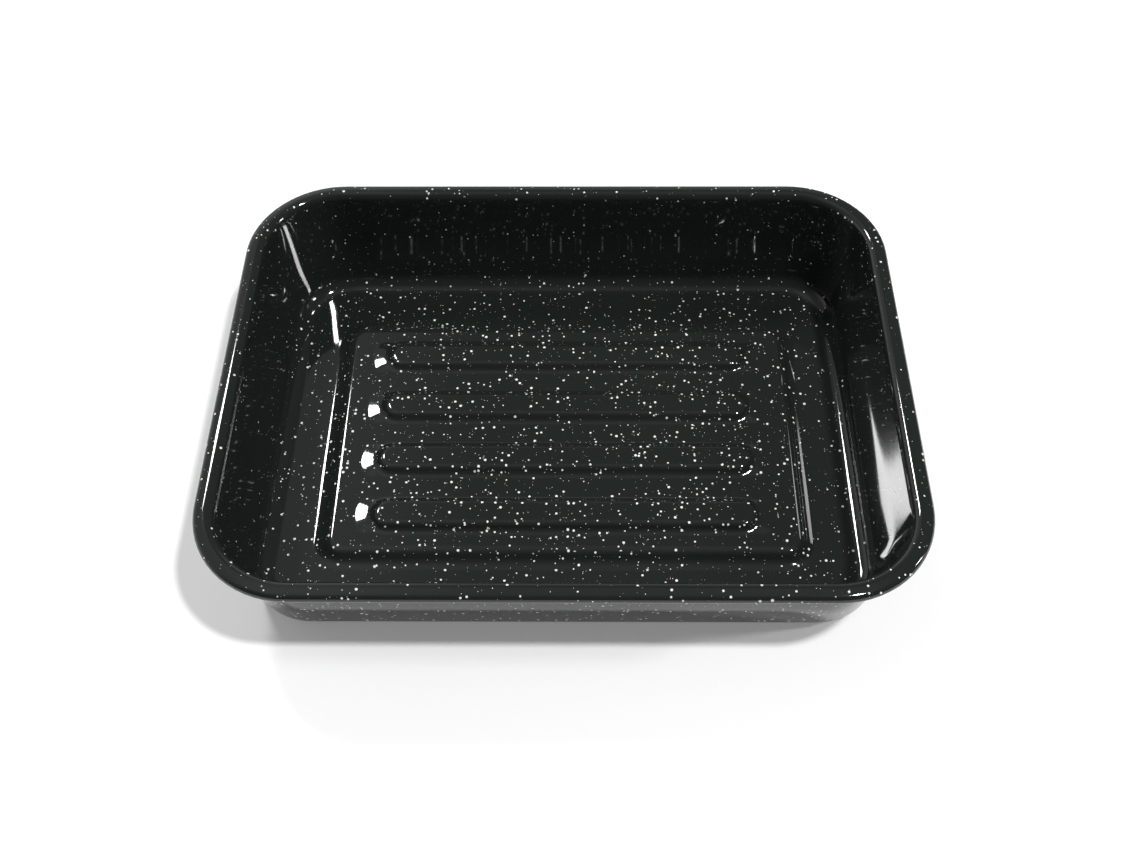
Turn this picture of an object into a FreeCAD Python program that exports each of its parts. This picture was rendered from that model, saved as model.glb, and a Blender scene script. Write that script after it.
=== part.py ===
import FreeCAD, Part

import math
import os

# Baking pan pressed from one enamelled steel sheet, in millimetres and degrees.
# The origin is the middle of the underside, +X runs along the long side and +Z is up.

# Outside of the rim
rim_length = 355.0
rim_width = 266.0
rim_corner_radius = 51.0
pan_height = 66.0

# Steel sheet with the enamel on both faces
sheet = 1.2

# Wall, which leans outwards, and its round foot
wall_lean = 9.0
foot_radius = 9.3

# Rim, where the wall bends out, runs flat and curls under into a hollow bead
rim_bend_radius = 7.4
rim_flat = 0.6
curl_radius = 2.9
curl_turn = 180.0

# Channel round the raised floor, flat from the foot of the wall to the foot of the step
end_channel = 17.9
side_channel = 23.3

# Step up to the raised floor, an S of two round bends
floor_rise = 4.8
floor_corner_radius = 10.0
step_slope = 50.0
step_shoulder_radius = 5.6

# Ribs pressed up from the raised floor, each side an S of two round bends
rib_count = 4
rib_rise = 3.5
rib_width = 16.4
rib_end_margin = 24.3
rib_side_margin = 15.3
rib_slope = 50.0
rib_shoulder_radius = 3.2

# Distance under which two ends of a section are one point
touching = 1e-6

# Directions on a section, as angles from the outward one
UPWARD = 90
INWARD = 180
DOWNWARD = -90

UP = FreeCAD.Vector(0, 0, 1)
MIDDLE = FreeCAD.Vector(0, 0, 0)
ALONG_Y = FreeCAD.Vector(0, 1, 0)


class Bend:
    """One round stretch of a section, given on the upper face of the sheet.

    Angles go from the outward direction towards +Z. The lower face has the
    same centre, and a radius that differs by one sheet.
    """

    def __init__(self, out, height, radius, first, last, hollow):
        """Place the bend.

        Args:
            out: Distance of its centre from the corner axis.
            height: Height of its centre.
            radius: Radius of the upper face.
            first: Angle where the bend begins, going outwards.
            last: Angle where it ends.
            hollow: True where the upper face is the inside of the bend.
        """
        self.out = out
        self.height = height
        self.radius = radius
        self.lower_radius = radius + sheet if hollow else radius - sheet
        self.first = first
        self.last = last

    def point(self, radius, angle):
        """Return the point of the section at a radius and an angle."""
        turn = math.radians(angle)
        return FreeCAD.Vector(
            self.out + radius * math.cos(turn), 0, self.height + radius * math.sin(turn)
        )

    def arc(self, radius, first, last):
        """Return the round edge from one angle to another."""
        middle = (first + last) / 2
        return Part.Arc(*[self.point(radius, angle) for angle in (first, middle, last)]).toShape()

    def upper_edge(self):
        """Return the edge of the upper face, going outwards."""
        return self.arc(self.radius, self.first, self.last)

    def lower_edge(self):
        """Return the edge of the lower face, coming back inwards."""
        return self.arc(self.lower_radius, self.last, self.first)


def sheet_section(top, bends):
    """Return the section of the sheet, from a corner axis out through its bends.

    Straight runs join each bend to the next where they don't touch, on the
    upper face and on the lower one.

    Args:
        top: Height of the upper face at the corner axis.
        bends: The bends in order, going outwards.

    Returns:
        A face of constant thickness in the XZ plane.
    """
    at_axis = Part.LineSegment(
        FreeCAD.Vector(0, 0, top - sheet), FreeCAD.Vector(0, 0, top)
    ).toShape()
    going_out = [bend.upper_edge() for bend in bends]
    coming_back = [bend.lower_edge() for bend in reversed(bends)]
    edges = [at_axis] + going_out + coming_back
    outline = []
    for edge, following in zip(edges, edges[1:] + edges[:1]):
        outline.append(edge)
        here = edge.valueAt(edge.LastParameter)
        there = following.valueAt(following.FirstParameter)
        if here.distanceToPoint(there) > touching:
            outline.append(Part.LineSegment(here, there).toShape())
    return Part.Face(Part.Wire(outline))


def flat_section(top, reach):
    """Return the section of a flat sheet that goes from a corner axis out to a reach."""
    low_corner = FreeCAD.Vector(0, 0, top - sheet)
    return Part.makePlane(sheet, reach, low_corner, ALONG_Y)


def carry_round(section, top, half_x, half_y):
    """Carry a section round a rectangle of corner axes, and close the middle.

    The section is extruded along each side, and turned about each corner
    axis. A rectangle with no width is a line with two ends, and the section
    makes a half turn about each.

    Args:
        section: Face in the XZ plane that begins at the corner axis.
        top: Height of its upper face there.
        half_x: Distance of the corner axes from the middle along X.
        half_y: The same along Y.

    Returns:
        One solid of the sheet.
    """
    if half_y > 0:
        corners = [
            FreeCAD.Vector(half_x, -half_y, 0),
            FreeCAD.Vector(half_x, half_y, 0),
            FreeCAD.Vector(-half_x, half_y, 0),
            FreeCAD.Vector(-half_x, -half_y, 0),
        ]
        facing = 0
    else:
        corners = [FreeCAD.Vector(half_x, 0, 0), FreeCAD.Vector(-half_x, 0, 0)]
        facing = 90
    turn = 360 / len(corners)
    pieces = []
    for number, corner in enumerate(corners):
        following = corners[(number + 1) % len(corners)]
        side = following - corner
        turned = section.copy()
        turned.rotate(MIDDLE, UP, facing + turn * number)
        turned.translate(corner)
        pieces.append(turned.extrude(side))
        turned.translate(side)
        pieces.append(turned.revolve(following, UP, turn))
    if half_y > 0:
        low_corner = FreeCAD.Vector(-half_x, -half_y, top - sheet)
        pieces.append(Part.makeBox(2 * half_x, 2 * half_y, sheet, low_corner))
    return pieces[0].multiFuse(pieces[1:]).removeSplitter()


def rising_bends(top, rise, slope, shoulder_radius, edge):
    """Return the shoulder and the toe of a form that stands up from a flat sheet.

    The two bends meet where the side is steepest, and the toe takes up what
    the shoulder leaves of the rise.

    Args:
        top: Height of the upper face of the form.
        rise: Height of the form above the flat sheet.
        slope: Steepest angle of its side.
        shoulder_radius: Radius of the shoulder on the upper face.
        edge: Distance from the corner axis to the steepest place.

    Returns:
        The shoulder and the toe, in that order.
    """
    lean = math.radians(slope)
    toe_radius = rise / (1 - math.cos(lean)) - shoulder_radius
    shoulder = Bend(
        edge - shoulder_radius * math.sin(lean),
        top - shoulder_radius,
        shoulder_radius,
        UPWARD,
        UPWARD - slope,
        hollow=False,
    )
    toe = Bend(
        edge + toe_radius * math.sin(lean),
        top - rise + toe_radius,
        toe_radius,
        DOWNWARD - slope,
        DOWNWARD,
        hollow=True,
    )
    return [shoulder, toe]


def wall_bends():
    """Return the foot of the wall, the bend of the rim and its curl, going outwards."""
    curl = Bend(
        rim_corner_radius - curl_radius,
        pan_height - curl_radius,
        curl_radius,
        UPWARD,
        UPWARD - curl_turn,
        hollow=False,
    )
    rim_bend = Bend(
        curl.out - rim_flat,
        pan_height - rim_bend_radius,
        rim_bend_radius,
        INWARD - wall_lean,
        UPWARD,
        hollow=False,
    )
    lean = math.radians(wall_lean)
    wall_top = rim_bend.point(rim_bend_radius, rim_bend.first)
    foot_height = sheet + foot_radius
    wall_foot_height = foot_height - foot_radius * math.sin(lean)
    wall_run = (wall_top.z - wall_foot_height) * math.tan(lean)
    foot_out = wall_top.x - wall_run - foot_radius * math.cos(lean)
    foot = Bend(foot_out, foot_height, foot_radius, DOWNWARD, -wall_lean, hollow=True)
    return [foot, rim_bend, curl]


def press(pan, bends, form_top, flat_top, place, half_x, half_y):
    """Press a form up out of a flat part of the pan.

    Args:
        pan: Solid with flat sheet where the form goes.
        bends: Shoulder and toe of the form.
        form_top: Height of the upper face of the form.
        flat_top: Height of the upper face of the flat sheet.
        place: Middle of the form in plan.
        half_x: Distance of its corner axes from that middle along X.
        half_y: The same along Y.

    Returns:
        The pan with the form in place of that much flat sheet.
    """
    toe = bends[-1]
    form = carry_round(sheet_section(form_top, bends), form_top, half_x, half_y)
    blank = carry_round(flat_section(flat_top, toe.out), flat_top, half_x, half_y)
    form.translate(place)
    blank.translate(place)
    return pan.cut(blank).fuse(form)


def make_pan():
    """Return the whole pan as one solid."""
    channel_top = sheet
    raised_top = channel_top + floor_rise
    rib_top = raised_top + rib_rise

    # Wall, rim and flat floor
    wall = wall_bends()
    foot = wall[0]
    axis_x = rim_length / 2 - rim_corner_radius
    axis_y = rim_width / 2 - rim_corner_radius
    pan = carry_round(sheet_section(channel_top, wall), channel_top, axis_x, axis_y)

    # Raised floor inside the channel
    step = rising_bends(
        raised_top, floor_rise, step_slope, step_shoulder_radius, floor_corner_radius
    )
    toe = step[-1]
    floor_x = axis_x + foot.out - end_channel - toe.out
    floor_y = axis_y + foot.out - side_channel - toe.out
    pan = press(pan, step, raised_top, channel_top, MIDDLE, floor_x, floor_y)

    # Ribs, spread evenly over the raised floor
    rib_edge = rib_width / 2
    rib = rising_bends(rib_top, rib_rise, rib_slope, rib_shoulder_radius, rib_edge)
    rib_x = floor_x + floor_corner_radius - rib_end_margin - rib_edge
    first_rib_y = floor_y + floor_corner_radius - rib_side_margin - rib_edge
    pitch = 2 * first_rib_y / (rib_count - 1)
    for number in range(rib_count):
        place = FreeCAD.Vector(0, first_rib_y - number * pitch, 0)
        pan = press(pan, rib, rib_top, raised_top, place, rib_x, 0)
    return pan.removeSplitter().Solids[0]


pan = make_pan()
os.makedirs("parts", exist_ok=True)
pan.exportStep("parts/pan.step")
size = pan.optimalBoundingBox()
print("valid", pan.isValid(), "volume", round(pan.Volume))
print("length", size.XLength, "width", size.YLength, "height", size.ZLength)
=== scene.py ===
import logging
import math
from dataclasses import dataclass, field, replace
from enum import Enum

import bmesh
import bpy
from mathutils import Matrix, Vector


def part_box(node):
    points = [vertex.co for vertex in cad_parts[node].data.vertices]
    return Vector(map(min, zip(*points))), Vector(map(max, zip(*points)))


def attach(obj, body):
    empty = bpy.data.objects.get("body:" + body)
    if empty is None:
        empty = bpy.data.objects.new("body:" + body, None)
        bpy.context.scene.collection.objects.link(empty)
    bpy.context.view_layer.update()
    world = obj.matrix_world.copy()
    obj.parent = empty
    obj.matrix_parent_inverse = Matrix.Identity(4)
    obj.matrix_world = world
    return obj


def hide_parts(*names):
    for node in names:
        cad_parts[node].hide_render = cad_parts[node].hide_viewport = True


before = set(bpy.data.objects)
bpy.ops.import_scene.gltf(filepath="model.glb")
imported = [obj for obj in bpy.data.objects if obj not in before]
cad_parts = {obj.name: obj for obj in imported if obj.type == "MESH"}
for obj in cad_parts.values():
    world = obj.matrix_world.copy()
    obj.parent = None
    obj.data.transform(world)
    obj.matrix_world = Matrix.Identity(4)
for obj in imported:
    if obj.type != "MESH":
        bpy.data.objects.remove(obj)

LOG = logging.getLogger("baking_pan")
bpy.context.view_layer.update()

MM = 0.001
UP = Vector((0, 0, 1))
QUARTER_TURN = math.pi / 2
MERGE_DISTANCE = 0.0005 * MM
SPECKLE_ATTRIBUTE = "speckle"
FLECK_EDGE = 0.7
DIMMEST_FLECK = 0.5


def ease(share: float) -> float:
    """Return a share held between 0 and 1, with a soft start and a soft end."""
    held = min(1, max(0, share))
    return held * held * (3 - 2 * held)


@dataclass(frozen=True)
class Bend:
    """One round stretch of the upper face of the sheet, in section.

    Angles are in degrees, from the outward direction towards up.
    """

    out: float
    height: float
    radius: float
    first: float
    last: float
    steps: int

    def point(self, angle: float) -> Vector:
        """Return the point of the bend at an angle, as (out, 0, height)."""
        turn = math.radians(angle)
        return Vector(
            (
                self.out + self.radius * math.cos(turn),
                0,
                self.height + self.radius * math.sin(turn),
            )
        )


@dataclass(frozen=True)
class SweepSteps:
    """How many steps a section takes along each stretch of a quarter of the pan."""

    along_y: int
    corner: int
    along_x: int


def rising_bends(
    top: float, rise: float, slope: float, shoulder: float, edge: float, steps: int
) -> list[Bend]:
    """Return the shoulder and the toe of a form that stands up from flat sheet.

    Args:
        top: Height of the form's upper face.
        rise: Height of the form above the flat sheet.
        slope: Steepest angle of its side, in degrees.
        shoulder: Radius of the shoulder.
        edge: Distance from the corner axis to the steepest place.
        steps: Steps along each bend.

    Returns:
        The two bends, going outwards.
    """
    lean = math.radians(slope)
    toe = rise / (1 - math.cos(lean)) - shoulder
    return [
        Bend(edge - shoulder * math.sin(lean), top - shoulder, shoulder, 90, 90 - slope, steps),
        Bend(edge + toe * math.sin(lean), top - rise + toe, toe, -90 - slope, -90, steps),
    ]


@dataclass
class SectionWire:
    """A section of the sheet, drawn as a chain of vertices and edges in a bmesh."""

    mesh: bmesh.types.BMesh
    axis: Vector
    chain: list = field(default_factory=list)

    def start(self, out: float, height: float) -> None:
        """Put down the first vertex of the chain.

        Args:
            out: Distance outwards from the axis.
            height: Height of the vertex.
        """
        self.chain = [self.mesh.verts.new(self.axis + Vector((out, 0, height)))]

    def run_to(self, out: float, height: float, steps: int = 1) -> None:
        """Add a straight run.

        Args:
            out: Distance outwards from the axis, at the run's end.
            height: Height of the run's end.
            steps: Steps along the run.
        """
        there = self.axis + Vector((out, 0, height))
        self._carry((there - self.chain[-1].co) / steps, 0.0, UP, steps)

    def follow(self, bend: Bend) -> None:
        """Add a round stretch that begins where the chain ends."""
        centre = self.axis + Vector((bend.out, 0, bend.height))
        turn = math.radians(bend.first - bend.last)
        self._carry(Vector((0, 0, 0)), turn, centre, bend.steps)

    def _carry(self, stride: Vector, turn: float, centre: Vector, steps: int) -> None:
        """Spin the last vertex of the chain on, and take up the vertices it makes."""
        known = set(self.mesh.verts)
        bmesh.ops.spin(
            self.mesh,
            geom=[self.chain[-1]],
            cent=centre,
            axis=Vector((0, 1, 0)),
            dvec=stride,
            angle=turn,
            steps=steps,
            use_merge=False,
            use_duplicate=False,
        )
        fresh = [vertex for vertex in self.mesh.verts if vertex not in known]
        while fresh:
            end = self.chain[-1]
            following = next(v for v in fresh if any(e.other_vert(v) == end for e in v.link_edges))
            self.chain.append(following)
            fresh.remove(following)

    def geometry(self) -> list:
        """Return the vertices and edges of the chain."""
        edges = [
            self.mesh.edges.get((here, there)) for here, there in zip(self.chain, self.chain[1:])
        ]
        return list(self.chain) + edges


def sweep(
    mesh: bmesh.types.BMesh, geometry: list, stride: Vector, turn: float, centre: Vector, steps: int
) -> list:
    """Carry a section on, straight or round a vertical axis.

    Args:
        mesh: The mesh that holds the section.
        geometry: Vertices and edges of the section.
        stride: Travel of one step along a straight side.
        turn: Whole turn about the axis.
        centre: A point on the axis.
        steps: Number of steps.

    Returns:
        The vertices and edges of the section where it ends.
    """
    result = bmesh.ops.spin(
        mesh,
        geom=geometry,
        cent=centre,
        axis=UP,
        dvec=stride,
        angle=turn,
        steps=steps,
        use_merge=False,
        use_duplicate=False,
    )
    return result["geom_last"]


@dataclass
class PressedPan:
    """The whole pan: one sheet with its rim, wall, channel, raised floor and ribs.

    Lengths are in metres, angles in degrees. The outline comes from the CAD
    node's box.
    """

    node: str = "pan"
    body: str = "root"
    slot: str = "enamel"
    corner_radius: float = 51.0 * MM
    sheet: float = 1.2 * MM

    # Wall: its knee is a share of its height, and its bow runs out along the corner's arc
    wall_lean: float = 8.4
    wall_bow: float = 1.25 * MM
    wall_knee: float = 0.38
    knee_round: float = 0.09
    bow_run_out: float = 24.0 * MM
    foot_radius: float = 9.3 * MM

    # Rim: its crown droops from the first angle to the last, measured from level
    rim_bend_radius: float = 4.4 * MM
    rim_crown_radius: float = 18.0 * MM
    rim_crown_first: float = 4.0
    rim_crown_last: float = 15.0
    curl_radius: float = 2.9 * MM
    tip_round: float = 0.4 * MM
    tip_angle: float = 60.0

    # Channel and raised floor
    end_channel: float = 16.9 * MM
    side_channel: float = 22.3 * MM
    floor_rise: float = 4.8 * MM
    floor_corner_radius: float = 10.0 * MM
    step_slope: float = 44.0
    step_shoulder: float = 7.1 * MM

    # Ribs
    rib_count: int = 4
    rib_rise: float = 3.5 * MM
    rib_width: float = 16.4 * MM
    rib_end_margin: float = 24.3 * MM
    rib_side_margin: float = 15.3 * MM
    rib_slope: float = 50.0
    rib_shoulder: float = 4.4 * MM

    # Rib tips: a shoulder, a steep toe and a long ramp, full inside the inner angle
    # and gone outside the outer one
    rib_end_flat: float = 4.0 * MM
    rib_end_slope: float = 32.0
    rib_end_shoulder: float = 6.5 * MM
    rib_end_reach: float = 17.6 * MM
    rib_end_ramp: float = 8.3
    rib_end_toe: float = 3.7 * MM
    rib_end_inner: float = 30.0
    rib_end_outer: float = 60.0
    rib_end_square: float = 2.3

    # Where the flat stretches are cut, so that no bend runs into the next
    block_margin: float = 4.3 * MM
    guard: float = 0.7 * MM

    # Share of the possible flecks, by place
    speckle_floor: float = 1.0
    speckle_channel: float = 0.85
    speckle_wall: float = 0.42
    speckle_rim: float = 0.75
    speckle_outside: float = 1.0
    facing_down: float = -0.05

    # Steps along each stretch
    bend_steps: int = 7
    curl_steps: int = 14
    rim_bend_steps: int = 9
    foot_steps: int = 11
    wall_steps: int = 18
    rib_steps: int = 11
    rib_end_steps: int = 16
    corner_steps: int = 16
    rib_side_steps: int = 14
    tip_segments: int = 2

    def __post_init__(self) -> None:
        """Work out the places that follow from the sizes."""
        low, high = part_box(self.node)
        self.half_length = high.x
        self.half_width = high.y
        self.rim_top = high.z
        self.channel_top = self.sheet
        self.raised_top = self.channel_top + self.floor_rise
        self.rib_top = self.raised_top + self.rib_rise
        self.axis = Vector(
            (self.half_length - self.corner_radius, self.half_width - self.corner_radius, 0)
        )
        self.step = rising_bends(
            self.raised_top,
            self.floor_rise,
            self.step_slope,
            self.step_shoulder,
            self.floor_corner_radius,
            self.bend_steps,
        )
        self.rim = self._rim_bends()
        self.wall_top = self.rim[0].point(self.rim[0].first)
        self.foot = self._foot_bend()
        toe = self.step[-1]
        self.floor_axis = Vector(
            (
                self.axis.x + self.foot.out - self.end_channel - toe.out,
                self.axis.y + self.foot.out - self.side_channel - toe.out,
                0,
            )
        )
        rib_edge = self.rib_width / 2
        self.rib = rising_bends(
            self.rib_top, self.rib_rise, self.rib_slope, self.rib_shoulder, rib_edge, self.rib_steps
        )
        floor_x = self.floor_axis.x + self.floor_corner_radius
        floor_y = self.floor_axis.y + self.floor_corner_radius
        self.rib_axis_x = floor_x - self.rib_end_margin - rib_edge
        first_rib_y = floor_y - self.rib_side_margin - rib_edge
        self.pitch = 2 * first_rib_y / (self.rib_count - 1)
        self.block_x = self.floor_axis.x + self.step[0].out - self.block_margin
        self.block_y = self.pitch * self.rib_count / 2
        side_steps = self.rib_end_steps * self.rib_count // 2
        self.steps = SweepSteps(side_steps, self.corner_steps, self.rib_side_steps)

    def _rim_bends(self) -> list[Bend]:
        """Return the bend from the wall to the crest, the crown that droops, and the curl."""
        bend_height = self.rim_top - self.rim_bend_radius
        first, last = 90 - self.rim_crown_first, 90 - self.rim_crown_last
        curl = Bend(0, 0, self.curl_radius, last, -90, self.curl_steps)
        crown = Bend(0, 0, self.rim_crown_radius, first, last, self.bend_steps)
        bend = Bend(0, 0, self.rim_bend_radius, 180 - self.wall_lean, first, self.rim_bend_steps)
        curl_out = self.corner_radius - self.curl_radius
        crown_out = curl_out + curl.point(last).x - crown.point(last).x
        bend_out = crown_out + crown.point(first).x - bend.point(first).x
        crown_height = bend_height + bend.point(first).z - crown.point(first).z
        curl_height = crown_height + crown.point(last).z - curl.point(last).z
        return [
            replace(bend, out=bend_out, height=bend_height),
            replace(crown, out=crown_out, height=crown_height),
            replace(curl, out=curl_out, height=curl_height),
        ]

    def _foot_bend(self) -> Bend:
        """Return the round foot between the channel and the wall."""
        lean = math.radians(self.wall_lean)
        height = self.sheet + self.foot_radius
        wall_foot_height = height - self.foot_radius * math.sin(lean)
        wall_run = (self.wall_top.z - wall_foot_height) * math.tan(lean)
        out = self.wall_top.x - wall_run - self.foot_radius * math.cos(lean)
        return Bend(out, height, self.foot_radius, -90, -self.wall_lean, self.foot_steps)

    def _bow(self, share: float) -> float:
        """Return how far a wall bows out, at a share of the way up from its foot to its top."""
        knee, smooth = self.wall_knee, self.knee_round
        below, above = math.hypot(knee, smooth), math.hypot(1 - knee, smooth)
        chord = (1 - share) * below + share * above
        crest = (1 - knee) * below + knee * above - smooth
        return self.wall_bow * (chord - math.hypot(share - knee, smooth)) / crest

    def _bow_out(self, vertex: bmesh.types.BMVert) -> None:
        """Press a vertex of the wall outwards, in full along a straight wall and less into a corner."""
        low = self.foot.point(self.foot.last).z
        share = (vertex.co.z - low) / (self.wall_top.z - low)
        if share <= 0 or share >= 1:
            return
        past = self._past(vertex, self.axis)
        into_corner = math.atan2(min(past), max(past)) * past.length
        part = ease(1 - into_corner / self.bow_run_out)
        vertex.co.xy += self._bow(share) * part * past.normalized()

    def _sweep_quarter(self, mesh: bmesh.types.BMesh, wire: SectionWire) -> None:
        """Carry a section from the middle of one end round to the middle of one side.

        Args:
            mesh: The mesh that holds the section.
            wire: The section, drawn at the end's middle.
        """
        steps, axis = self.steps, wire.axis
        along_y = Vector((0, axis.y / steps.along_y, 0))
        along_x = Vector((-axis.x / steps.along_x, 0, 0))
        wire.axis = Vector((axis.x, 0, 0))
        still = Vector((0, 0, 0))
        at_corner = sweep(mesh, wire.geometry(), along_y, 0, still, steps.along_y)
        past_corner = sweep(mesh, at_corner, still, QUARTER_TURN, axis, steps.corner)
        sweep(mesh, past_corner, along_x, 0, still, steps.along_x)

    def _draw_wall(self, mesh: bmesh.types.BMesh) -> None:
        """Draw the foot, the wall, the rim and its curl, round a quarter of the pan."""
        wire = SectionWire(mesh, Vector((self.axis.x, 0, 0)))
        wire.start(self.foot.out - self.guard, self.channel_top)
        wire.run_to(self.foot.out, self.channel_top)
        wire.follow(self.foot)
        wire.run_to(self.wall_top.x, self.wall_top.z, self.wall_steps)
        for bend in self.rim:
            wire.follow(bend)
        wire.axis = self.axis
        self._sweep_quarter(mesh, wire)
        for vertex in mesh.verts:
            self._bow_out(vertex)

    def _draw_step(self, mesh: bmesh.types.BMesh) -> None:
        """Draw the step between the raised floor and the channel, round a quarter."""
        shoulder, toe = self.step
        wire = SectionWire(mesh, Vector((self.floor_axis.x, 0, 0)))
        wire.start(shoulder.out - self.guard, self.raised_top)
        wire.run_to(shoulder.out, self.raised_top)
        wire.follow(shoulder)
        wire.follow(toe)
        wire.run_to(toe.out + self.guard, self.channel_top)
        wire.axis = self.floor_axis
        self._sweep_quarter(mesh, wire)

    def _draw_rib(self, mesh: bmesh.types.BMesh, middle_y: float) -> None:
        """Draw one half of a rib, out to the edges of its share of the floor.

        Args:
            mesh: The mesh to draw in.
            middle_y: Place of the rib's middle line.
        """
        shoulder, toe = self.rib
        known = set(mesh.verts)
        wire = SectionWire(mesh, Vector((0, 0, 0)))
        wire.start(0, self.rib_top)
        wire.run_to(shoulder.out - self.guard, self.rib_top)
        wire.run_to(shoulder.out, self.rib_top)
        wire.follow(shoulder)
        wire.follow(toe)
        wire.run_to(toe.out + self.guard, self.raised_top)
        wire.run_to(self.pitch / 2, self.raised_top)
        across = wire.geometry()
        bmesh.ops.rotate(
            mesh, verts=wire.chain, cent=Vector((0, 0, 0)), matrix=Matrix.Rotation(-QUARTER_TURN, 3, "Z")
        )
        steps = self.rib_side_steps
        stride = Vector((self.rib_axis_x / steps, 0, 0))
        still = Vector((0, 0, 0))
        end = Vector((self.rib_axis_x, 0, 0))
        near_end = sweep(mesh, across, stride, 0, still, steps)
        far_end = sweep(mesh, near_end, still, math.pi, end, self.rib_end_steps)
        sweep(mesh, far_end, -stride, 0, still, steps)
        drawn = [vertex for vertex in mesh.verts if vertex not in known]
        for vertex in drawn:
            self._soften_rib_end(vertex)
            self._square_off(vertex)
        bmesh.ops.translate(mesh, verts=drawn, vec=Vector((0, middle_y, 0)))

    def _rib_end_point(self, reach: float) -> tuple[float, float]:
        """Return where a point of a rib's side lies on the long ramp of the rib's tip.

        Args:
            reach: Distance of the point from the rib's middle line, on its side.

        Returns:
            Its distance from the corner axis and its height, at the tip.
        """
        shoulder, toe = self.rib
        steepest = self.rib_width / 2
        slope = math.radians(self.rib_end_slope)
        shoulder_run = self.rib_end_shoulder * math.sin(slope)
        if reach <= steepest:
            turned = max(0, reach - shoulder.out) / (steepest - shoulder.out)
            drop = self.rib_end_shoulder * (1 - math.cos(slope * turned))
            flat = self.rib_end_flat * min(1, reach / shoulder.out)
            return flat + shoulder_run * turned, self.rib_top - drop
        ramp_start = self.rib_end_flat + shoulder_run
        ramp_rise = self.rib_rise - self.rib_end_shoulder * (1 - math.cos(slope))
        share = min(1, (reach - steepest) / (toe.out - steepest))
        past = max(0, reach - toe.out)
        along = ramp_start + share * (self.rib_end_reach - ramp_start)
        ramp = math.tan(math.radians(self.rib_end_ramp))
        foot_rise = ramp_rise - ramp * (self.rib_end_reach - ramp_start)
        toe_share = min(1, (along - ramp_start) / self.rib_end_toe)
        height = ramp * (self.rib_end_reach - along) + foot_rise * (1 - toe_share) ** 2
        return along + past, self.raised_top + height

    def _soften_rib_end(self, vertex: bmesh.types.BMVert) -> None:
        """Blend a rib's side into a long ramp towards the rib's tip."""
        away = Vector((vertex.co.x - self.rib_axis_x, vertex.co.y))
        reach = away.length
        last = self.rib[-1].out + self.guard
        if away.x <= 0 or reach < MERGE_DISTANCE or reach > last + MERGE_DISTANCE:
            return
        ahead, aside = away.x / reach, abs(away.y) / reach
        inner = math.cos(math.radians(self.rib_end_inner))
        outer = math.cos(math.radians(self.rib_end_outer))
        facing = ease((ahead - outer) / (inner - outer))
        tip_reach, tip_height = self._rib_end_point(reach)
        square, steepest = self.rib_end_square, self.rib_width / 2
        on_ramp = min(1, max(0, (reach - steepest) / (self.rib[-1].out - steepest)))
        wider = (ahead**square + aside**square) ** (-1 / square) - 1
        tip_reach *= 1 + on_ramp * wider
        away *= (reach + facing * (tip_reach - reach)) / reach
        vertex.co.x = self.rib_axis_x + away.x
        vertex.co.y = away.y
        vertex.co.z += facing * (tip_height - vertex.co.z)

    def _square_off(self, vertex: bmesh.types.BMVert) -> None:
        """Move a vertex of the outermost ring to the edge of the rib's share of the floor."""
        half = self.pitch / 2
        away = Vector((vertex.co.x - self.rib_axis_x, vertex.co.y))
        if away.x > 0 and abs(away.length - half) < MERGE_DISTANCE:
            vertex.co.x = self.block_x
        elif abs(abs(vertex.co.y) - half) < MERGE_DISTANCE:
            vertex.co.x *= self.block_x / self.rib_axis_x

    def _join_floor(self, mesh: bmesh.types.BMesh) -> None:
        """Fill the raised floor between the ribs' shares and the step.

        The new vertices are spaced as those on the ribs' round ends are, so that
        the two rings merge.
        """
        inner = self.step[0].out - self.guard
        edge = [e for e in mesh.edges if all(self._on_ring(v, self.floor_axis, inner) for v in e.verts)]
        made = bmesh.ops.extrude_edge_only(mesh, edges=edge)["geom"]
        for vertex in (item for item in made if isinstance(item, bmesh.types.BMVert)):
            x, y = vertex.co.x, vertex.co.y
            vertex.co.x = self.block_x * min(1, x / self.floor_axis.x)
            share, part = divmod(self.block_y * min(1, y / self.floor_axis.y), self.pitch)
            inwards = (1 - math.cos(math.pi * part / self.pitch)) / 2
            vertex.co.y = self.pitch * (share + inwards)

    def _join_channel(self, mesh: bmesh.types.BMesh) -> None:
        """Fill the flat of the channel between the step and the foot of the wall."""
        inner = self.step[-1].out + self.guard
        outer = self.foot.out - self.guard
        edges = [
            e
            for e in mesh.edges
            if all(self._on_ring(v, self.floor_axis, inner) for v in e.verts)
            or all(self._on_ring(v, self.axis, outer) for v in e.verts)
        ]
        bmesh.ops.bridge_loops(mesh, edges=edges)

    @staticmethod
    def _past(vertex: bmesh.types.BMVert, axis: Vector) -> Vector:
        """Return how far a vertex lies past the lines between corner axes, along X and Y."""
        return Vector((max(abs(vertex.co.x) - axis.x, 0), max(abs(vertex.co.y) - axis.y, 0)))

    def _on_ring(self, vertex: bmesh.types.BMVert, axis: Vector, out: float) -> bool:
        """Return whether a vertex lies at a distance from the lines between corner axes."""
        return abs(self._past(vertex, axis).length - out) < MERGE_DISTANCE

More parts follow.
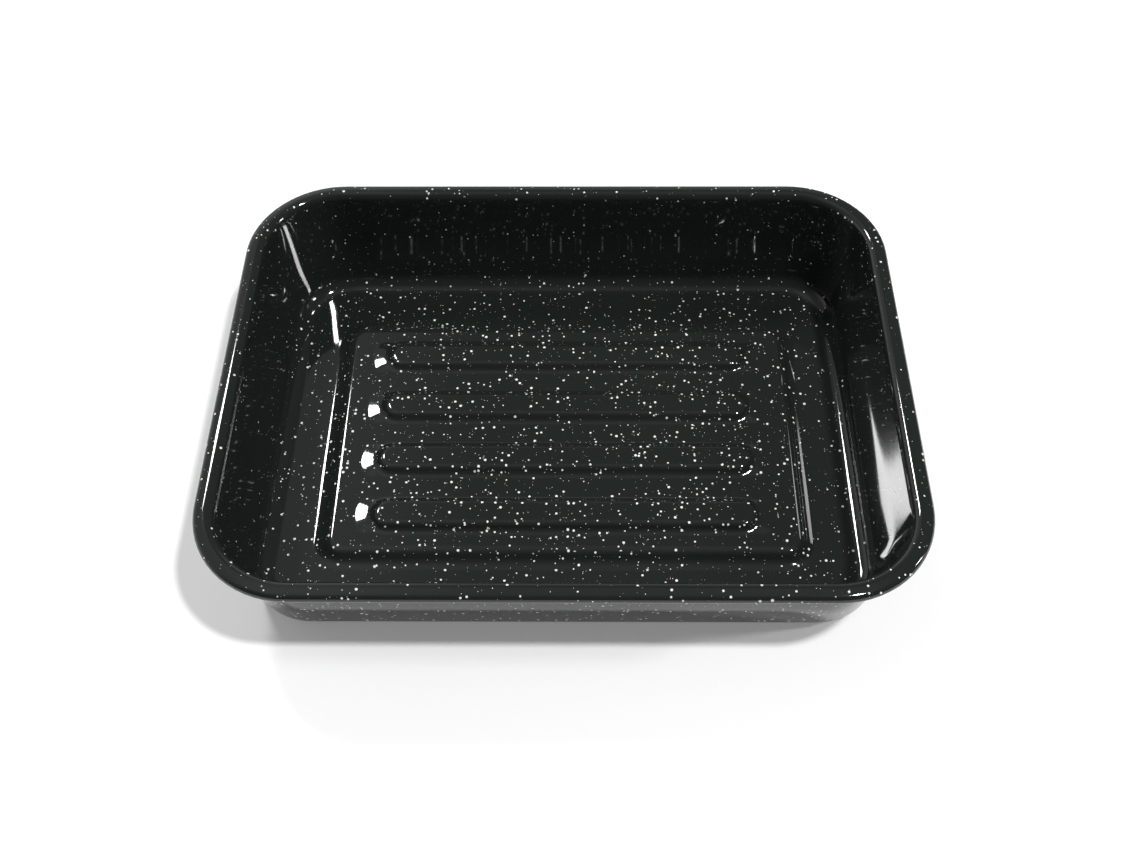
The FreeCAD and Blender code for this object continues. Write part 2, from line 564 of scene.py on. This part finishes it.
    def _close_quarters(self, mesh: bmesh.types.BMesh) -> None:
        """Mirror the quarter to the whole pan and give the sheet its thickness."""
        bmesh.ops.remove_doubles(mesh, verts=mesh.verts[:], dist=MERGE_DISTANCE)
        for axis in ("X", "Y"):
            bmesh.ops.mirror(
                mesh,
                geom=mesh.verts[:] + mesh.edges[:] + mesh.faces[:],
                axis=axis,
                merge_dist=MERGE_DISTANCE,
            )
        bmesh.ops.remove_doubles(mesh, verts=mesh.verts[:], dist=MERGE_DISTANCE)
        bmesh.ops.recalc_face_normals(mesh, faces=mesh.faces[:])
        middle = min(mesh.faces, key=lambda face: face.calc_center_median().to_2d().length)
        if middle.normal.z < 0:
            bmesh.ops.reverse_faces(mesh, faces=mesh.faces[:])
        bmesh.ops.solidify(mesh, geom=mesh.faces[:], thickness=self.sheet)
        self._round_tip(mesh)

    def _round_tip(self, mesh: bmesh.types.BMesh) -> None:
        """Round the two sharp edges where the curl of the rim ends."""
        sharp = math.radians(self.tip_angle)
        edges = [edge for edge in mesh.edges if edge.calc_face_angle(0) > sharp]
        bmesh.ops.bevel(
            mesh,
            geom=edges,
            offset=self.tip_round,
            segments=self.tip_segments,
            profile=0.5,
            affect="EDGES",
            material=-1,
        )

    def _mark_speckle(self, mesh: bmesh.types.BMesh) -> None:
        """Write on each vertex how many of the possible flecks its enamel holds."""
        layer = mesh.verts.layers.float.new(SPECKLE_ATTRIBUTE)
        mesh.normal_update()
        for vertex in mesh.verts:
            vertex[layer] = self._speckle_at(vertex)

    def _speckle_at(self, vertex: bmesh.types.BMVert) -> float:
        """Return the share of the possible flecks at the place of a vertex.

        Args:
            vertex: A vertex of the whole pan, with its normal.

        Returns:
            The share for the outside or the rim, or one that goes from the
            channel's to the floor's or the wall's with height.
        """
        if vertex.normal.z < self.facing_down:
            return self.speckle_outside
        if vertex.co.z > self.rim_top - self.rim_bend_radius:
            return self.speckle_rim
        above, climb = self.speckle_floor, self.floor_rise
        if self._past(vertex, self.floor_axis).length > self.step[-1].out:
            above, climb = self.speckle_wall, self.rib_top
        share = min(1, max(0, (vertex.co.z - self.channel_top) / climb))
        return self.speckle_channel + share * (above - self.speckle_channel)

    def build(self) -> bpy.types.Object:
        """Build the pan's mesh.

        Returns:
            The object, at the origin, with its place in its mesh.
        """
        mesh = bmesh.new()
        self._draw_wall(mesh)
        self._draw_step(mesh)
        for number in range(self.rib_count // 2):
            self._draw_rib(mesh, self.pitch * (number + 0.5))
        self._join_floor(mesh)
        self._join_channel(mesh)
        self._close_quarters(mesh)
        self._mark_speckle(mesh)
        for face in mesh.faces:
            face.smooth = True
        data = bpy.data.meshes.new("enamelled_pan")
        mesh.to_mesh(data)
        mesh.free()
        pan = bpy.data.objects.new("enamelled_pan", data)
        bpy.context.scene.collection.objects.link(pan)
        return pan

    def dress(self, pan: bpy.types.Object, finish: "SpeckledEnamel") -> None:
        """Give the pan its finish and its place in the frame.

        Args:
            pan: The pan's object.
            finish: The enamel that covers it.
        """
        pan.data.materials.append(finish.build())
        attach(pan, self.body)
        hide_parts(self.node)


class NodeSheet:
    """A short way to place and join the nodes of one node tree."""

    def __init__(self, tree: bpy.types.NodeTree) -> None:
        """Start on an empty tree."""
        self.tree = tree
        tree.nodes.clear()

    def add(self, kind: str, **settings: object) -> bpy.types.Node:
        """Add a node.

        Args:
            kind: The node's type name.
            settings: Attributes to set on it.

        Returns:
            The node.
        """
        node = self.tree.nodes.new(kind)
        for name, value in settings.items():
            setattr(node, name, value)
        return node

    def wire(self, source: bpy.types.NodeSocket, target: bpy.types.NodeSocket) -> None:
        """Join an output to an input."""
        self.tree.links.new(source, target)

    def feed(self, target: bpy.types.NodeSocket, value: object) -> None:
        """Join a socket to an input, or set the input to a plain value."""
        if isinstance(value, bpy.types.NodeSocket):
            self.wire(value, target)
        else:
            target.default_value = value

    def compute(self, operation: str, first: object, second: object) -> bpy.types.NodeSocket:
        """Add a math node on two values or sockets and return its output."""
        node = self.add("ShaderNodeMath", operation=operation)
        self.feed(node.inputs[0], first)
        self.feed(node.inputs[1], second)
        return node.outputs[0]

    def ramp(self, *settings: object) -> bpy.types.NodeSocket:
        """Map a value smoothly from one range to another.

        Args:
            settings: The value, the low and the high end of its range, and what
                comes out at each of them.

        Returns:
            The mapped value.
        """
        node = self.add("ShaderNodeMapRange", interpolation_type="SMOOTHSTEP")
        for place, setting in enumerate(settings):
            self.feed(node.inputs[place], setting)
        return node.outputs[0]


def fleck_group() -> bpy.types.NodeTree:
    """Build the node group that scatters flecks of one size.

    Returns:
        A group with a place, a spacing, the largest and smallest sizes, a share,
        a growth and a seed as inputs, and the cover and the brightness of the
        flecks as outputs.
    """
    name = "flecks_of_one_size"
    if name in bpy.data.node_groups:
        return bpy.data.node_groups[name]
    tree = bpy.data.node_groups.new(name, "ShaderNodeTree")
    interface = tree.interface
    interface.new_socket("Place", in_out="INPUT", socket_type="NodeSocketVector")
    for label in ("Spacing", "Largest", "Smallest", "Share", "Growth", "Seed"):
        interface.new_socket(label, in_out="INPUT", socket_type="NodeSocketFloat")
    interface.new_socket("Cover", in_out="OUTPUT", socket_type="NodeSocketFloat")
    interface.new_socket("Brightness", in_out="OUTPUT", socket_type="NodeSocketFloat")
    sheet = NodeSheet(tree)
    inputs = sheet.add("NodeGroupInput").outputs
    result = sheet.add("NodeGroupOutput")
    scale = sheet.compute("DIVIDE", 1.0, inputs["Spacing"])
    moved = sheet.add("ShaderNodeVectorMath", operation="ADD")
    sheet.wire(inputs["Place"], moved.inputs[0])
    sheet.wire(inputs["Seed"], moved.inputs[1])
    cells = sheet.add("ShaderNodeTexVoronoi", voronoi_dimensions="3D", feature="F1")
    sheet.wire(moved.outputs[0], cells.inputs["Vector"])
    sheet.wire(scale, cells.inputs["Scale"])
    draw = sheet.add("ShaderNodeSeparateColor")
    sheet.wire(cells.outputs["Color"], draw.inputs[0])
    present = sheet.compute("LESS_THAN", draw.outputs[0], inputs["Share"])
    grown = sheet.compute("SUBTRACT", inputs["Largest"], inputs["Smallest"])
    size = sheet.compute("ADD", sheet.compute("MULTIPLY", draw.outputs[1], grown), inputs["Smallest"])
    distance = sheet.compute("MULTIPLY", cells.outputs["Distance"], inputs["Spacing"])
    ratio = sheet.compute("DIVIDE", distance, sheet.compute("MULTIPLY", size, inputs["Growth"]))
    disc = sheet.ramp(ratio, FLECK_EDGE, 1.0, 1.0, 0.0)
    sheet.wire(sheet.compute("MULTIPLY", disc, present), result.inputs["Cover"])
    brightness = sheet.ramp(draw.outputs[2], 0.0, 1.0, DIMMEST_FLECK, 1.0)
    sheet.wire(brightness, result.inputs["Brightness"])
    return tree


@dataclass(frozen=True)
class FleckSize:
    """One size of fleck: how far apart, how large, and what share of the places hold one."""

    spacing: float
    largest: float
    smallest: float
    share: float
    seed: float


@dataclass(frozen=True)
class SpeckledEnamel:
    """Black vitreous enamel with white flecks under its gloss."""

    ground: tuple = (0.0122, 0.0152, 0.0134, 1.0)
    fleck: tuple = (0.9, 0.91, 0.88, 1.0)
    gloss: float = 0.055
    ior: float = 1.53
    smallest_growth: float = 0.45
    sizes: tuple = (
        FleckSize(1.5 * MM, 0.27 * MM, 0.12 * MM, 0.35, 3.1),
        FleckSize(3.0 * MM, 0.88 * MM, 0.4 * MM, 0.5, 7.7),
        FleckSize(6.5 * MM, 1.0 * MM, 0.6 * MM, 0.3, 12.3),
    )
    stir_length: float = 0.9 * MM
    stir_reach: float = 0.06 * MM
    wave_length: float = 40.0 * MM
    wave_height: float = 0.03 * MM
    peel_length: float = 4.5 * MM
    peel_height: float = 0.0016 * MM

    def build(self) -> bpy.types.Material:
        """Build the material.

        Returns:
            The enamel's material.
        """
        material = bpy.data.materials.new("speckled_enamel")
        material.use_nodes = True
        sheet = NodeSheet(material.node_tree)
        output = sheet.add("ShaderNodeOutputMaterial")
        shader = sheet.add("ShaderNodeBsdfPrincipled")
        sheet.wire(shader.outputs[0], output.inputs["Surface"])
        place = sheet.add("ShaderNodeTexCoord").outputs["Object"]
        cover, brightness = self._flecks(sheet, place)
        colour = sheet.add("ShaderNodeMix", data_type="RGBA")
        sheet.wire(sheet.compute("MULTIPLY", cover, brightness), colour.inputs["Factor"])
        colour.inputs["A"].default_value = self.ground
        colour.inputs["B"].default_value = self.fleck
        sheet.wire(colour.outputs["Result"], shader.inputs["Base Color"])
        shader.inputs["Roughness"].default_value = self.gloss
        shader.inputs["IOR"].default_value = self.ior
        sheet.wire(self._unevenness(sheet, place), shader.inputs["Normal"])
        return material

    def _flecks(self, sheet: NodeSheet, place: bpy.types.NodeSocket) -> tuple:
        """Scatter the flecks of every size and lay them over each other.

        Args:
            sheet: The material's node sheet.
            place: The place on the pan.

        Returns:
            The cover and the brightness of the flecks.
        """
        stir = sheet.add("ShaderNodeTexNoise")
        sheet.wire(place, stir.inputs["Vector"])
        stir.inputs["Scale"].default_value = 1 / self.stir_length
        stir.inputs["Detail"].default_value = 1.0
        shift = sheet.add("ShaderNodeVectorMath", operation="MULTIPLY_ADD")
        sheet.wire(stir.outputs["Color"], shift.inputs[0])
        shift.inputs[1].default_value = (self.stir_reach,) * 3
        sheet.wire(place, shift.inputs[2])
        speckle = sheet.add("ShaderNodeAttribute", attribute_name=SPECKLE_ATTRIBUTE).outputs["Fac"]
        growth = sheet.ramp(speckle, 0.0, 1.0, self.smallest_growth, 1.0)
        cover, brightness = 0.0, 0.0
        for size in self.sizes:
            node = sheet.add("ShaderNodeGroup", node_tree=fleck_group())
            sheet.wire(shift.outputs[0], node.inputs["Place"])
            node.inputs["Spacing"].default_value = size.spacing
            node.inputs["Largest"].default_value = size.largest
            node.inputs["Smallest"].default_value = size.smallest
            sheet.wire(sheet.compute("MULTIPLY", speckle, size.share), node.inputs["Share"])
            sheet.wire(growth, node.inputs["Growth"])
            node.inputs["Seed"].default_value = size.seed
            cover = sheet.compute("MAXIMUM", cover, node.outputs["Cover"])
            brightness = sheet.compute("MAXIMUM", brightness, node.outputs["Brightness"])
        return cover, brightness

    def _unevenness(self, sheet: NodeSheet, place: bpy.types.NodeSocket) -> bpy.types.NodeSocket:
        """Return a normal with the slow waves of the sheet and the peel of the enamel."""
        normal = None
        for length, height in (
            (self.wave_length, self.wave_height),
            (self.peel_length, self.peel_height),
        ):
            noise = sheet.add("ShaderNodeTexNoise")
            sheet.wire(place, noise.inputs["Vector"])
            noise.inputs["Scale"].default_value = 1 / length
            noise.inputs["Detail"].default_value = 1.0
            bump = sheet.add("ShaderNodeBump")
            bump.inputs["Distance"].default_value = height
            sheet.wire(noise.outputs[0], bump.inputs["Height"])
            if normal is not None:
                sheet.wire(normal, bump.inputs["Normal"])
            normal = bump.outputs[0]
        return normal


class LampShape(Enum):
    """Outline of a lamp, by the names that the renderer uses."""

    RECTANGLE = "RECTANGLE"
    DISK = "DISK"


@dataclass(frozen=True)
class Lamp:
    """One lamp, placed and sized by how it looks from the middle of the pan.

    Angles are in degrees: the azimuth goes from the back of the pan towards
    its right, and the elevation up from the floor.
    """

    name: str
    shape: LampShape
    azimuth: float
    elevation: float
    distance: float
    across: float
    along: float
    radiance: float

    def hang(self) -> None:
        """Put the lamp in its place, facing the pan."""
        turn, rise = math.radians(self.azimuth), math.radians(self.elevation)
        away = Vector(
            (math.sin(turn) * math.cos(rise), math.cos(turn) * math.cos(rise), math.sin(rise))
        )
        width = 2 * self.distance * math.tan(math.radians(self.across) / 2)
        height = 2 * self.distance * math.tan(math.radians(self.along) / 2)
        area = width * height if self.shape is LampShape.RECTANGLE else math.pi / 4 * width**2
        data = bpy.data.lights.new(self.name, "AREA")
        data.shape = self.shape.value
        data.size = width
        if self.shape is LampShape.RECTANGLE:
            data.size_y = height
        data.energy = math.pi * area * self.radiance
        lamp = bpy.data.objects.new(self.name, data)
        facing = (-away).to_track_quat("-Z", "Y").to_matrix().to_4x4()
        lamp.matrix_world = Matrix.Translation(away * self.distance) @ facing
        lamp.visible_camera = False
        bpy.context.scene.collection.objects.link(lamp)


@dataclass(frozen=True)
class Studio:
    """Floor, background, lamps and camera round the pan."""

    floor_half: float = 3.0
    floor_colour: tuple = (0.86, 0.86, 0.86, 1.0)
    floor_lift: float = 0.19
    horizon_grey: float = 0.6
    ceiling_grey: float = 0.13
    zenith_grey: float = 0.2
    left_grey: float = 0.3
    right_grey: float = 0.13
    front_grey: float = 0.085
    ceiling_range: tuple = (0.4, 0.62)
    zenith_range: tuple = (0.85, 0.95)
    left_range: tuple = (-0.06, -0.22)
    right_range: tuple = (0.12, 0.35)
    front_range: tuple = (-0.6, 0.1)
    lamps: tuple = (
        Lamp("back_left_window", LampShape.RECTANGLE, -39.2, 48.4, 2.86, 7.1, 7.1, 78.0),
        Lamp("right_window", LampShape.RECTANGLE, 92.9, 32.0, 2.63, 4.5, 5.0, 110.0),
        Lamp("right_window_foot", LampShape.RECTANGLE, 92.9, 23.5, 2.55, 4.5, 12.0, 6.0),
        Lamp("overhead_lamp", LampShape.DISK, 114.0, 67.9, 4.0, 3.84, 3.84, 590.0),
    )
    camera_place: tuple = (8.0 * MM, -393.0 * MM, 576.8 * MM)
    camera_azimuth: float = 0.791
    camera_elevation: float = 55.204
    camera_roll: float = -0.58
    focal_pixels: float = 1250.0
    photo_width: float = 1140.0
    sensor_width: float = 36.0

    def build_floor(self) -> None:
        """Lay the pale floor that the pan stands on."""
        mesh = bmesh.new()
        bmesh.ops.create_grid(mesh, x_segments=1, y_segments=1, size=self.floor_half)
        data = bpy.data.meshes.new("floor")
        mesh.to_mesh(data)
        mesh.free()
        floor = bpy.data.objects.new("floor", data)
        bpy.context.scene.collection.objects.link(floor)
        data.materials.append(self._floor_material())

    def _floor_material(self) -> bpy.types.Material:
        """Return a matt white that lifts to the background's white where the camera sees it."""
        material = bpy.data.materials.new("pale_floor")
        material.use_nodes = True
        sheet = NodeSheet(material.node_tree)
        output = sheet.add("ShaderNodeOutputMaterial")
        paint = sheet.add("ShaderNodeBsdfDiffuse")
        paint.inputs["Color"].default_value = self.floor_colour
        glow = sheet.add("ShaderNodeEmission")
        sheet.wire(
            sheet.compute("MULTIPLY", self._seen(sheet), self.floor_lift), glow.inputs["Strength"]
        )
        both = sheet.add("ShaderNodeAddShader")
        sheet.wire(paint.outputs[0], both.inputs[0])
        sheet.wire(glow.outputs[0], both.inputs[1])
        sheet.wire(both.outputs[0], output.inputs["Surface"])
        return material

    @staticmethod
    def _seen(sheet: NodeSheet) -> bpy.types.NodeSocket:
        """Return 1 where the camera looks, also in a reflection or through something clear."""
        path = sheet.add("ShaderNodeLightPath").outputs
        seen = sheet.compute("MAXIMUM", path["Is Camera Ray"], path["Is Glossy Ray"])
        return sheet.compute("MAXIMUM", seen, path["Is Transmission Ray"])

    def build_world(self) -> None:
        """Surround the pan with greys that change with height, from side to side and from front to back.

        The camera sees plain white there. Each range is one of the direction, from
        where a grey begins to change to where it has changed.
        """
        world = bpy.data.worlds.new("studio")
        world.use_nodes = True
        sheet = NodeSheet(world.node_tree)
        output = sheet.add("ShaderNodeOutputWorld")
        backdrop = sheet.add("ShaderNodeBackground")
        direction = sheet.add("ShaderNodeSeparateXYZ")
        sheet.wire(sheet.add("ShaderNodeTexCoord").outputs["Generated"], direction.inputs[0])
        height = direction.outputs["Z"]
        grey = sheet.ramp(height, *self.ceiling_range, self.horizon_grey, self.ceiling_grey)
        grey = sheet.ramp(direction.outputs["X"], *self.right_range, grey, self.right_grey)
        zenith = sheet.ramp(height, *self.zenith_range, 0.0, self.zenith_grey)
        grey = sheet.compute("ADD", grey, zenith)
        left = sheet.ramp(direction.outputs["X"], *self.left_range, 0.0, self.left_grey)
        grey = sheet.compute("ADD", grey, left)
        grey = sheet.ramp(direction.outputs["Y"], *self.front_range, self.front_grey, grey)
        camera = sheet.add("ShaderNodeLightPath").outputs["Is Camera Ray"]
        shade = sheet.add("ShaderNodeMix", data_type="FLOAT")
        sheet.wire(camera, shade.inputs["Factor"])
        sheet.wire(grey, shade.inputs["A"])
        shade.inputs["B"].default_value = 1.0
        sheet.wire(shade.outputs["Result"], backdrop.inputs["Strength"])
        sheet.wire(backdrop.outputs[0], output.inputs["Surface"])
        bpy.context.scene.world = world

    def build_lamps(self) -> None:
        """Hang the lamps."""
        for lamp in self.lamps:
            lamp.hang()

    def build_camera(self) -> None:
        """Put the camera where the photograph was taken from."""
        azimuth = math.radians(self.camera_azimuth)
        elevation = math.radians(self.camera_elevation)
        back = Vector(
            (
                math.sin(azimuth) * math.cos(elevation),
                -math.cos(azimuth) * math.cos(elevation),
                math.sin(elevation),
            )
        )
        level = (-back).cross(UP).normalized()
        turned = Matrix((level, back.cross(level), back)).transposed().to_4x4()
        roll = Matrix.Rotation(math.radians(self.camera_roll), 4, "Z")
        data = bpy.data.cameras.new("camera")
        data.sensor_fit = "HORIZONTAL"
        data.sensor_width = self.sensor_width
        data.lens = self.focal_pixels / self.photo_width * self.sensor_width
        camera = bpy.data.objects.new("camera", data)
        camera.matrix_world = Matrix.Translation(Vector(self.camera_place)) @ turned @ roll
        bpy.context.scene.collection.objects.link(camera)
        bpy.context.scene.camera = camera


def main() -> None:
    """Build the pan and the studio round it."""
    logging.basicConfig(level=logging.INFO, format="%(name)s: %(message)s")
    bpy.context.scene.view_settings.view_transform = "Standard"
    shape = PressedPan()
    pan = shape.build()
    shape.dress(pan, SpeckledEnamel())
    LOG.info("pan: %d faces", len(pan.data.polygons))
    studio = Studio()
    studio.build_floor()
    studio.build_world()
    studio.build_lamps()
    studio.build_camera()


if __name__ == "__main__":
    main()
